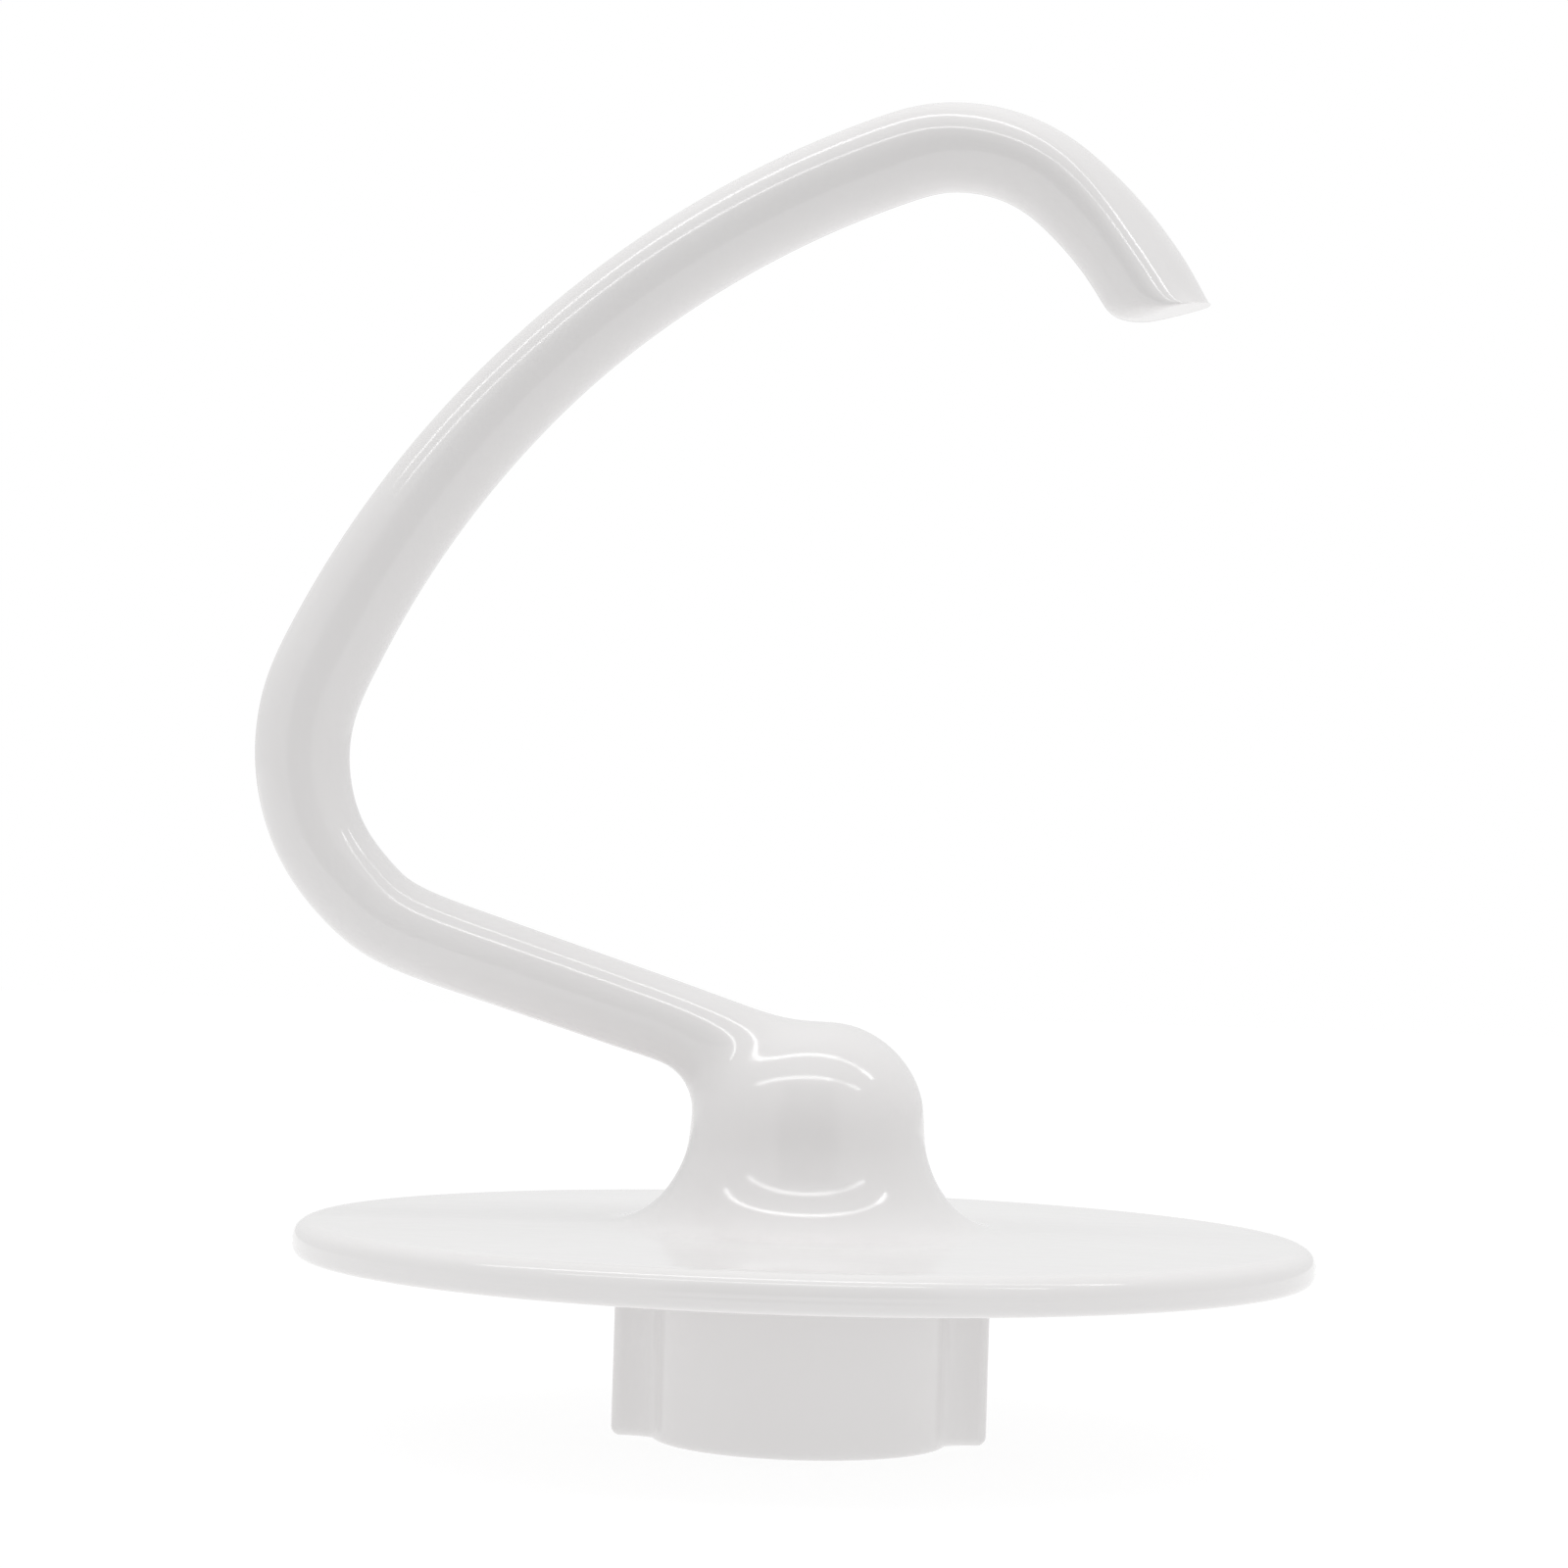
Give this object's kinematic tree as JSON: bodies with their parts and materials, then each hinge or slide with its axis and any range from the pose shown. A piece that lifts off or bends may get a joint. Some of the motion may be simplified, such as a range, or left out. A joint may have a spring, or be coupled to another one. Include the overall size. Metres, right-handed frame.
{
  "type": "stand mixer dough hook",
  "caption": "White coated C-shaped dough hook with a round dough guard disc, a domed boss and a slotted hub that locks on a stand mixer's drive shaft.",
  "frame": {"origin": "centre of the drive shaft socket's mouth, on the hub's end face", "axes": "+Z along the drive shaft's axis from the hub toward the hook, the hook in the XZ plane, its arm leaving the boss toward -X, +Y to the side with the pin slot"},
  "size_m": [0.1161, 0.11, 0.1455],
  "materials": {
    "white_coat": "gloss white coating over cast aluminium"
  },
  "bodies": {
    "root": {"dough_hook": "white_coat"}
  },
  "joints": []
}
